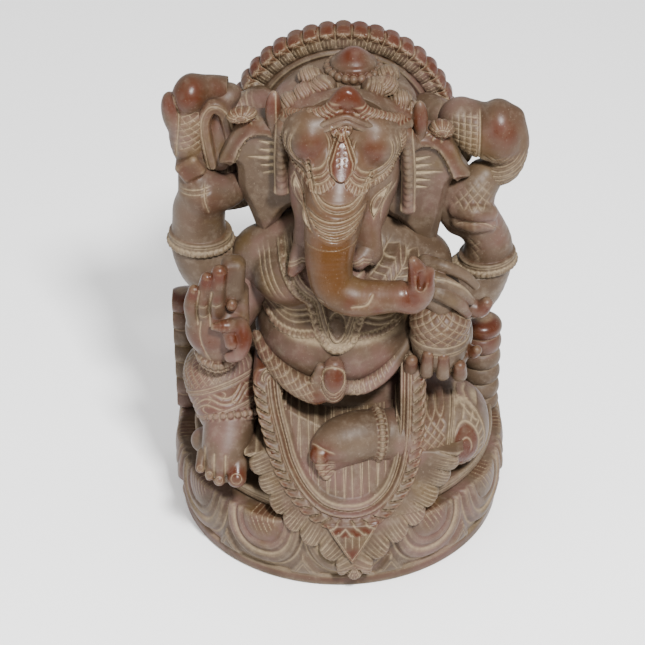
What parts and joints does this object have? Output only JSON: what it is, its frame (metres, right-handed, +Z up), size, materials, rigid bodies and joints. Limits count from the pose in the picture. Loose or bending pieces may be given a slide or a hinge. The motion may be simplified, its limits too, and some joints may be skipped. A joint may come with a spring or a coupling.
{
  "type": "ganesha idol",
  "caption": "Carved stone figure of a seated four-armed elephant-headed deity on a lotus base, with a scalloped halo behind the head.",
  "frame": {"origin": "centre of the underside's bounding box", "axes": "+Z up, the figure faces -Y, its right hand is at -X"},
  "size_m": [0.132, 0.09, 0.2018],
  "materials": {
    "carved_stone": "soft brownish grey stone, hand carved and softly polished, paler stone dust left in the engraved lines, browner and glossier on worn high spots",
    "rubbed_stone": "the same stone oiled or rubbed to a glossy amber brown"
  },
  "bodies": {
    "root": {"backrest": "carved_stone", "base_plinth": "carved_stone", "belt_serpent": "carved_stone", "cloth_frill": "carved_stone", "conch": "carved_stone", "diadem": "carved_stone", "goad": "carved_stone", "goad_hook": "carved_stone", "hair_locks": "carved_stone", "halo_disc": "carved_stone", "halo_rim": "carved_stone", "head": "carved_stone", "jewel_drop": "carved_stone", "lap_band": "carved_stone", "lap_cloth": "carved_stone", "left_anklet": "carved_stone", "left_arm_folds": "carved_stone", "left_armlet": "carved_stone", "left_bolster": "carved_stone", "left_ear": "carved_stone", "left_ear_tag": "carved_stone", "left_foot": "carved_stone", "left_front_arm": "carved_stone", "left_front_hand": "carved_stone", "left_leg": "carved_stone", "left_rear_arm": "carved_stone", "left_rear_hand": "carved_stone", "left_scarf_fold": "carved_stone", "left_tassel": "carved_stone", "left_tusk": "carved_stone", "lotus_pedestal": "carved_stone", "necklace": "carved_stone", "right_anklet": "carved_stone", "right_armlet": "carved_stone", "right_bolster": "carved_stone", "right_bracelet": "carved_stone", "right_ear": "carved_stone", "right_ear_tag": "carved_stone", "right_foot": "carved_stone", "right_front_arm": "carved_stone", "right_front_hand": "carved_stone", "right_leg": "carved_stone", "right_rear_arm": "carved_stone", "right_rear_hand": "carved_stone", "right_scarf_fold": "carved_stone", "right_tassel": "carved_stone", "right_tusk": "carved_stone", "seat_cushion": "carved_stone", "sweets_bowl": "carved_stone", "topknot": "carved_stone", "torso": "carved_stone", "trunk": "rubbed_stone"}
  },
  "joints": []
}
